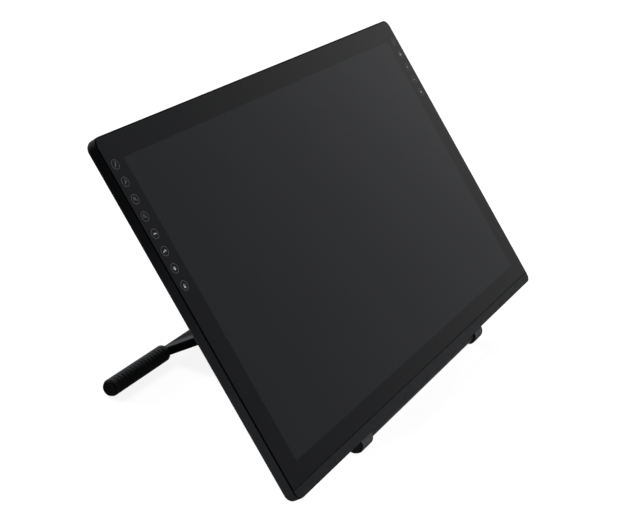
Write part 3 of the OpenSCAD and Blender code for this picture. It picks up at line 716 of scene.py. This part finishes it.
ICONS = {
    "pen": [slanted(shape) for shape in (rectangle(-0.5, 0.5, 1.9, 2.7), rectangle(-0.5, 0.5, -1, 1.6),
                                         [(-0.5, -1.3), (0.5, -1.3), (0, -2.8)])],
    "brush": [slanted(shape) for shape in (rectangle(-0.3, 0.3, 0.3, 2.7),
                                           [(-0.55, 0), (0.55, 0), (0.4, -1.4), (0, -2.8), (-0.4, -1.4)])]
             + [stroke([(0.75, -0.1), (2.5, 0.1)], 0.45)],
    "nearer": LENS_RING + [ACROSS, UPRIGHT],
    "further": LENS_RING + [ACROSS],
    "undo": HOOK,
    "redo": [[(-x, z) for x, z in shape][::-1] for shape in HOOK],
    "hand": [arc(0.05, -0.55, 1.05, 180, 360) + [(1.1, 0.2), (-1, 0.2)],
             *[stroke([(x, 0), (x * 1.15, top)], 0.42) for x, top in FINGERS],
             stroke([(-0.8, -0.7), (-1.6, 0.15)], 0.45)],
    "lock": [rectangle(-1.2, 0.9, -1.9, -0.2), stroke(arc(-0.1, 0.3, 0.85, -30, 210), 0.35)],
    "power": [stroke(arc(0, -0.2, 1.35, 120, 420), 0.4), stroke([(0, 0.2), (0, 1.7)], 0.4)],
    "star": [sparkle(4, 2.9, 0.75)],
    "plus": [stroke([(-1.3, 0), (-0.25, 0)], 0.5), stroke([(0.25, 0), (1.3, 0)], 0.5),
             stroke([(0, -1.3), (0, 1.3)], 0.5)],
    "minus": [stroke([(-1.3, 0), (1.3, 0)], 0.6)],
    "back": [[(-1.7, 0), (0.3, 1.5), (0.3, -1.5)], stroke([(0.3, 0), (1.6, 0)], 0.7)],
}
KEYS = {"left": ["pen", "brush", "nearer", "further", "undo", "redo", "hand", "lock"],
        "right": ["power", "star", "plus", "minus", "back"]}
KEY_INKS = {"undo": INK_BRIGHT, "redo": INK_BRIGHT, "hand": INK_BRIGHT, "lock": INK_BRIGHT,
            "star": INK_MIDDLE, "plus": INK_MIDDLE, "minus": INK_MIDDLE, "back": INK_MIDDLE}


def make_keys():
    inner = KEY_RING - KEY_LINE
    band = [(KEY_RING, -PRINT_T), (inner, -PRINT_T), (inner, PRINT_T), (KEY_RING, PRINT_T)]
    for name, side in SIDES.items():
        for i, icon in enumerate(KEYS[name]):
            x, z = side * KEY_X + BEHIND_SHIFT, KEY_TOP - i * KEY_PITCH
            ring = turned(x, z, band, KEY_STEPS, closed=True)
            piece(f"key_ring_{name}_{i + 1}", ring, TABLET, "tablet", INK, "glass")
            mark = bmesh.new()
            for shape in ICONS[icon]:
                prism(mark, [(x + px * MM, z + pz * MM) for px, pz in shape], -PRINT_T, PRINT_T)
            ink = KEY_INKS.get(icon, INK)
            piece(f"key_icon_{name}_{i + 1}", mark, TABLET, "tablet", ink, "glass")


# Rear cover

def cover_ring(inset, y):
    low, high = tablet_box("rear_cover")
    radius = COVER_CORNER - inset
    outline = round_rect(low.x + inset, high.x - inset, low.z + inset, high.z - inset, radius, radius)
    return ring_of(outline, y)


def bulge_ring(spread, y):
    radius = BULGE_CORNER + spread
    outline = round_rect(-BULGE_HALF_W - spread, BULGE_HALF_W + spread, BULGE_LOW - spread,
                         BULGE_HIGH + spread, radius, radius)
    return ring_of(outline, y)


def cover_shell():
    """Shell from the inside of the bulge, round the rim, to the flat of the bulge."""
    low, high = tablet_box("rear_cover")
    front, back = low.y, high.y
    rise = back - COVER_BACK
    slope = math.atan2(rise, BULGE_SLOPE)
    foot = BULGE_FOOT_ROUND * math.tan(slope / 2)
    top = BULGE_TOP_ROUND * math.tan(slope / 2)
    steps = [i / ROUND_STEPS for i in range(ROUND_STEPS + 1)]
    rings = [bulge_ring(-COVER_WALL, back - COVER_WALL), bulge_ring(-COVER_WALL, COVER_FLOOR),
             cover_ring(COVER_WALL, COVER_FLOOR), cover_ring(COVER_WALL, LIP_BACK),
             cover_ring(LIP_T, LIP_BACK), cover_ring(RIM_EDGE, front),
             cover_ring(RIM_CHAMFER, front), cover_ring(0, front + RIM_CHAMFER)]
    for s in steps:
        a = math.radians(90 * s)
        rings.append(cover_ring(COVER_ROUND * (1 - math.cos(a)),
                                COVER_BACK - COVER_ROUND * (1 - math.sin(a))))
    for s in steps:
        a = slope * s
        rings.append(bulge_ring(BULGE_SLOPE + foot - BULGE_FOOT_ROUND * math.sin(a),
                                COVER_BACK + BULGE_FOOT_ROUND * (1 - math.cos(a))))
    for s in steps:
        a = slope * (1 - s)
        rings.append(bulge_ring(BULGE_TOP_ROUND * math.sin(a) - top,
                                back - BULGE_TOP_ROUND * (1 - math.cos(a))))
    return loft(bmesh.new(), rings)


def middle_of(node):
    low, high = tablet_box(node)
    return (low.x + high.x) / 2, (low.z + high.z) / 2


CASE_SCREWS = [f"case_screw_{i}" for i in range(1, 7)]
STAND_SCREWS = [f"stand_screw_{i}" for i in range(1, 5)]
ARM_INSERTS = [f"arm_insert_{i}" for i in range(1, 5)]
STAND_INSERTS = [f"stand_insert_{i}" for i in range(1, 5)]
PORTS = ["hdmi_port", "usb_port", "power_inlet"]


def make_cover():
    """Shell with the wall of the plug bay, cut open for bay, ports, vents and fasteners."""
    _, high = tablet_box("rear_cover")
    back = high.y
    bay_wall = bmesh.new()
    block(bay_wall, (BAY_X - COVER_WALL, COVER_FLOOR + CUT_ROOM, BAY_LOW - COVER_WALL),
          (BULGE_HALF_W, back - COVER_WALL / 2, BAY_HIGH + COVER_WALL))
    cuts = bmesh.new()
    block(cuts, (BAY_X, BAY_FLOOR, BAY_LOW), (BAY_END, back + CUT_OVER, BAY_HIGH))
    grow = Vector((CUT_ROOM, CUT_ROOM, CUT_ROOM))
    for node in PORTS:
        port_low, port_high = tablet_box(node)
        block(cuts, port_low - grow, port_high + grow + Vector((CUT_OVER, 0, 0)))
    end_r = VENT_W / 2 - WELD
    for side in SIDES.values():
        for i in range(VENT_COUNT):
            x = side * (VENT_START + i * VENT_PITCH)
            z = BULGE_HIGH - VENT_DROP
            vent = round_rect(x - VENT_W / 2, x + VENT_W / 2, z - VENT_LEN, z, end_r, end_r)
            prism(cuts, vent, back - COVER_WALL - CUT_OVER, back + CUT_OVER)
    for node in CASE_SCREWS + ARM_INSERTS + STAND_INSERTS:
        x, z = middle_of(node)
        node_low, node_high = tablet_box(node)
        radius = (node_high.x - node_low.x) / 2 + CUT_ROOM
        bottom = node_high.y - CASE_SCREW["head_t"] if node in CASE_SCREWS else node_low.y
        prism(cuts, circle(x, z, radius, SCREW_STEPS), bottom, node_high.y + CUT_OVER)
    shell = carve(carve(cover_shell(), bay_wall, "UNION"), cuts, "DIFFERENCE")
    piece("back_shell", shell, TABLET, "tablet", COVER, "cover", "rear_cover")


# Screws and threaded inserts

def cross_outline(x, z, radius):
    """Cross of a driver's recess, for a head of the given radius."""
    a, b = radius * RECESS_WIDE, radius * RECESS_THIN
    arm = [(a, -b), (a, b), (b, b)]
    points = []
    for _ in range(4):
        points += [(x + px, z + pz) for px, pz in arm]
        arm = [(-pz, px) for px, pz in arm]
    return points


def make_screw(node, head_t, dome, shank_r):
    """Pan-head screw: a crowned head with a cross recess, and its shank."""
    x, z = middle_of(node)
    low, high = tablet_box(node)
    radius = (high.x - low.x) / 2
    seat = high.y - head_t
    profile = [(shank_r * SHANK_TIP, low.y), (shank_r, low.y + shank_r * SHANK_TAPER), (shank_r, seat),
               (radius, seat), (radius, high.y - dome)]
    for i in range(1, ROUND_STEPS + 1):
        s = i / ROUND_STEPS
        profile.append((radius * math.cos(math.radians(DOME_END * s)),
                        high.y - dome * (1 - math.sin(math.radians(90 * s)))))
    head = turned(x, z, profile, SCREW_STEPS)
    mouth = cross_outline(x, z, radius)
    floor = [(x + (px - x) * RECESS_FLOOR, z + (pz - z) * RECESS_FLOOR) for px, pz in mouth]
    recess = loft(bmesh.new(), [ring_of(floor, high.y - head_t * RECESS_DEPTH),
                                ring_of(mouth, high.y + head_t * RECESS_OVER)])
    piece(f"{node}_body", carve(head, recess, "DIFFERENCE"), TABLET, "tablet", OXIDE, "screw", node)


def make_insert(node):
    """Brass insert with a lead-in and the rings of its thread."""
    x, z = middle_of(node)
    low, high = tablet_box(node)
    outer = (high.x - low.x) / 2
    profile = [(outer, low.y), (outer, high.y - INSERT_CHAMFER), (outer - INSERT_CHAMFER, high.y),
               (INSERT_CREST_R + INSERT_LEAD_IN, high.y)]
    for i in range(int((high.y - low.y) / INSERT_PITCH)):
        profile += [(INSERT_CREST_R, high.y - (i + THREAD_WIDE) * INSERT_PITCH),
                    (INSERT_CORE_R, high.y - (i + THREAD_NARROW) * INSERT_PITCH)]
    profile.append((INSERT_CREST_R, low.y))
    bm = turned(x, z, profile, SCREW_STEPS, closed=True)
    piece(f"{node}_body", bm, TABLET, "tablet", BRASS, "brass", node)


# Stand

# Solids that are copied: body, finish, slot, and the most that their sharp edges are broken by
COPIED = {
    "stand_plate": ("tablet", PLATE, "plate", 0.6 * MM),
    "front_bar": ("tablet", BAR, "bar", 0.4 * MM),
    "hinge_shaft": ("tablet", STEEL, "steel", 0.5 * MM),
    "brake_drum": ("tablet", STEEL, "steel", 0.4 * MM),
    "lock_nut_left": ("tablet", STEEL, "steel", 0.5 * MM),
    "lock_nut_right": ("tablet", STEEL, "steel", 0.5 * MM),
    "rear_leg": ("leg", LEG, "leg", 0),
    "lever_pin": ("leg", STEEL, "steel", 0.3 * MM),
    "release_lever": ("lever", LEVER, "lever", 0.5 * MM),
}


def make_copied():
    """Copies of the stand's own solids: the leg as it is, the others with their sharp edges broken."""
    for node, (body, finish, slot, width) in COPIED.items():
        bm = copy_of(node)
        if width:
            soften(bm, width)
        piece(f"{node}_body", bm, WORLD, body, finish, slot, node)


def axis_of(node):
    low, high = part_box(node)
    return (low + high) / 2


def make_sleeves():
    """Rear sleeves with sharp grooves round them."""
    rod_low, rod_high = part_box("rear_rod")
    axis = axis_of("rear_rod")
    bore = (rod_high.z - rod_low.z) / 2
    for name, side in SIDES.items():
        low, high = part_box(f"rear_sleeve_{name}")
        start, end = sorted((abs(low.x), abs(high.x)))
        radius = high.z - axis.z
        first, last = start + SLEEVE_INNER_ROUND, end - SLEEVE_OUTER_ROUND
        profile = [(start, bore)] + quarter(first, radius - SLEEVE_INNER_ROUND, SLEEVE_INNER_ROUND, 180)
        count = int((last - first) / RIB_PITCH)
        groove = RIB_PITCH - RIB_LAND
        margin = (last - first - (count - 1) * RIB_PITCH - groove) / 2
        for i in range(count):
            x = first + margin + RIB_PITCH * i
            profile += [(x, radius), (x + groove / 2, radius - RIB_DEPTH), (x + groove, radius)]
        profile += quarter(last, radius - SLEEVE_OUTER_ROUND, SLEEVE_OUTER_ROUND, 90) + [(end, bore)]
        bm = stand_on_desk(mirrored(lathe(profile, axis), side))
        piece(f"rear_grip_{name}", bm, WORLD, "leg", RUBBER, "rubber", f"rear_sleeve_{name}")


def make_feet():
    """Front feet: short rubber rolls with rounded rims."""
    bar_low, bar_high = tablet_box("front_bar")
    axis = axis_of("front_bar")
    bore = (bar_high.z - bar_low.z) / 2
    for name, side in SIDES.items():
        low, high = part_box(f"front_foot_{name}")
        start, end = sorted((abs(low.x), abs(high.x)))
        radius = high.z - axis.z
        inner = quarter(start + FOOT_INNER_ROUND, radius - FOOT_INNER_ROUND, FOOT_INNER_ROUND, 180)
        outer = quarter(end - FOOT_ROUND, radius - FOOT_ROUND, FOOT_ROUND, 90)
        profile = [(start, bore), *inner, *outer, (end, bore)]
        bm = stand_on_desk(mirrored(lathe(profile, axis), side))
        piece(f"front_roll_{name}", bm, WORLD, "tablet", FOOT_RUBBER, "rubber", f"front_foot_{name}")


def make_caps():
    """End caps of both bars: a disc with a rounded rim and a shallow dish."""
    # The front caps take the darker copy of the cap rubber, which is painted shade
    for bar, body, rod, finish in (("front", "tablet", "front_bar", FRONT_CAP_SHADED_RUBBER),
                                   ("rear", "leg", "rear_rod", CAP_RUBBER)):
        axis = axis_of(rod)
        _, rod_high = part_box(rod)
        for name, side in SIDES.items():
            low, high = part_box(f"{bar}_cap_{name}")
            end = max(abs(low.x), abs(high.x))
            bottom = end - DISH_DEPTH
            radius = (high.z - low.z) / 2
            profile = [(rod_high.x, radius)] + quarter(end - CAP_ROUND, radius - CAP_ROUND, CAP_ROUND, 90)
            profile += [(end, radius * DISH_RIM), (bottom, radius * DISH_FLOOR),
                        (bottom, radius * DISH_MIDDLE)]
            bm = mirrored(lathe(profile, axis, closed=False), side)
            piece(f"{bar}_end_{name}", bm, WORLD, body, finish, "rubber", f"{bar}_cap_{name}")


def make_spring():
    """Return spring of the lever, wound round its pin."""
    low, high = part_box("lever_spring")
    axis = axis_of("lever_spring")
    radius = (high.z - low.z) / 2 - SPRING_WIRE_R
    length = high.x - low.x - 2 * SPRING_WIRE_R
    count = SPRING_TURNS * SPRING_STEPS
    along = Vector((1, 0, 0))
    sides = [2 * math.pi * k / SPRING_SIDES for k in range(SPRING_SIDES)]
    rings = []
    for i in range(count + 1):
        a = 2 * math.pi * i / SPRING_STEPS
        x = low.x + SPRING_WIRE_R + length * i / count
        out = Vector((0, math.cos(a), math.sin(a)))
        middle = Vector((x, axis.y, axis.z)) + out * radius
        rings.append([middle + SPRING_WIRE_R * (out * math.cos(b) + along * math.sin(b)) for b in sides])
    piece("lever_coil", loft(bmesh.new(), rings), WORLD, "leg", STEEL, "steel", "lever_spring")


# The solids that stay as they are

PLAIN = {"mid_frame": FRAME, "screen_cell": CELL, "backlight_tray": TRAY, "sensor_board": BOARD,
         "shield_sheet": SHIELD, "main_board": BOARD, "hdmi_port": PLATED, "usb_port": PLATED,
         "power_inlet": INLET, "key_board_left": BOARD, "key_board_right": BOARD, "rear_rod": STEEL,
         "friction_washer_left": WASHER, "friction_washer_right": WASHER, "disc_spring_left": STEEL,
         "disc_spring_right": STEEL, **{node: BRASS for node in STAND_INSERTS}}


def dress_plain():
    for node, finish in PLAIN.items():
        nodes[node].material_slots[0].material = finish


# Studio

def seen_directly(tree, strength):
    """The given strength for rays from the camera or off glossy or clear surfaces, else 0."""
    path = tree.nodes.new("ShaderNodeLightPath")
    total = path.outputs["Is Camera Ray"]
    for name in ("Is Glossy Ray", "Is Transmission Ray"):
        larger = tree.nodes.new("ShaderNodeMath")
        larger.operation = "MAXIMUM"
        tree.links.new(total, larger.inputs[0])
        tree.links.new(path.outputs[name], larger.inputs[1])
        total = larger.outputs[0]
    scaled = tree.nodes.new("ShaderNodeMath")
    scaled.operation = "MULTIPLY"
    tree.links.new(total, scaled.inputs[0])
    scaled.inputs[1].default_value = strength
    return scaled.outputs[0]


def make_floor():
    bm = bmesh.new()
    corners = rectangle(-FLOOR_HALF, FLOOR_HALF, -FLOOR_HALF, FLOOR_HALF)
    bm.faces.new([bm.verts.new((x, y, -FLOOR_DROP)) for x, y in corners])
    floor = link_object("floor", bm)
    material = bpy.data.materials.new("floor_paper")
    material.use_nodes = True
    tree = material.node_tree
    shader = tree.nodes["Principled BSDF"]
    shader.inputs["Base Color"].default_value = FLOOR_GREY
    shader.inputs["Roughness"].default_value = FLOOR_ROUGHNESS
    shader.inputs["Specular IOR Level"].default_value = FLOOR_SPECULAR
    shader.inputs["Emission Color"].default_value = WHITE
    tree.links.new(seen_directly(tree, FLOOR_SEEN), shader.inputs["Emission Strength"])
    floor.data.materials.append(material)


def make_world():
    """White where it is seen, and a faint even light on the object."""
    world = bpy.data.worlds.new("studio")
    bpy.context.scene.world = world
    world.use_nodes = True
    tree = world.node_tree
    background = tree.nodes["Background"]
    background.inputs["Color"].default_value = WHITE
    rest = tree.nodes.new("ShaderNodeMath")
    rest.operation = "ADD"
    tree.links.new(seen_directly(tree, 1 - AMBIENT), rest.inputs[0])
    rest.inputs[1].default_value = AMBIENT
    tree.links.new(rest.outputs[0], background.inputs["Strength"])


def hang_lamp(name, lamp, at, aim):
    """Hangs a lamp at a place and points it at another."""
    obj = bpy.data.objects.new(name, lamp)
    obj.location = at
    obj.rotation_mode = "QUATERNION"
    obj.rotation_quaternion = (Vector(aim) - Vector(at)).to_track_quat("-Z", "Y")
    obj.visible_camera = False
    bpy.context.scene.collection.objects.link(obj)


def make_sky_lamp(name, at, level):
    """Even light from one side: at level 1, a face turned to it shows its colour as written."""
    lamp = bpy.data.lights.new(name, "SUN")
    lamp.energy = math.pi * level
    lamp.angle = SKY_WIDTH
    hang_lamp(name, lamp, at, (0, 0, 0))


def make_soft_box(name, at, aim, size, power, spread):
    """Square lamp that shines into a cone."""
    lamp = bpy.data.lights.new(name, "AREA")
    lamp.shape = "SQUARE"
    lamp.size = size
    lamp.energy = power
    lamp.spread = math.radians(spread)
    hang_lamp(name, lamp, at, aim)


def make_camera():
    camera = bpy.data.cameras.new("photo_camera")
    camera.lens = CAMERA_LENS
    camera.clip_start = CAMERA_NEAR
    obj = bpy.data.objects.new("photo_camera", camera)
    obj.location = CAMERA_AT
    obj.rotation_mode = "QUATERNION"
    obj.rotation_quaternion = CAMERA_AHEAD.to_track_quat("-Z", "Y")
    bpy.context.scene.collection.objects.link(obj)
    bpy.context.scene.camera = obj


make_camera()
make_world()
make_floor()
make_sky_lamp("back_light", at=(0.3, 0.64, 0.71), level=0.75)
make_sky_lamp("edge_light", at=(0.1, 0.97, 0.2), level=1)
make_sky_lamp("front_light", at=(0.3, -0.6, 0.75), level=0.7)
make_soft_box("right_light", at=(2.3, -0.35, 0.75), aim=(0.1, 0, 0.15),
              size=1, power=2.2, spread=180)
make_soft_box("low_light", at=(-0.9, 0.15, 0.1), aim=(-0.26, -0.13, 0.02),
              size=0.15, power=0.31, spread=40)
bpy.context.scene.view_settings.view_transform = "Standard"

make_glass()
make_trim()
make_keys()
make_cover()
for screw in CASE_SCREWS:
    make_screw(screw, **CASE_SCREW)
for screw in STAND_SCREWS:
    make_screw(screw, **STAND_SCREW)
for insert in ARM_INSERTS:
    make_insert(insert)
make_copied()
make_sleeves()
make_feet()
make_caps()
make_spring()
dress_plain()
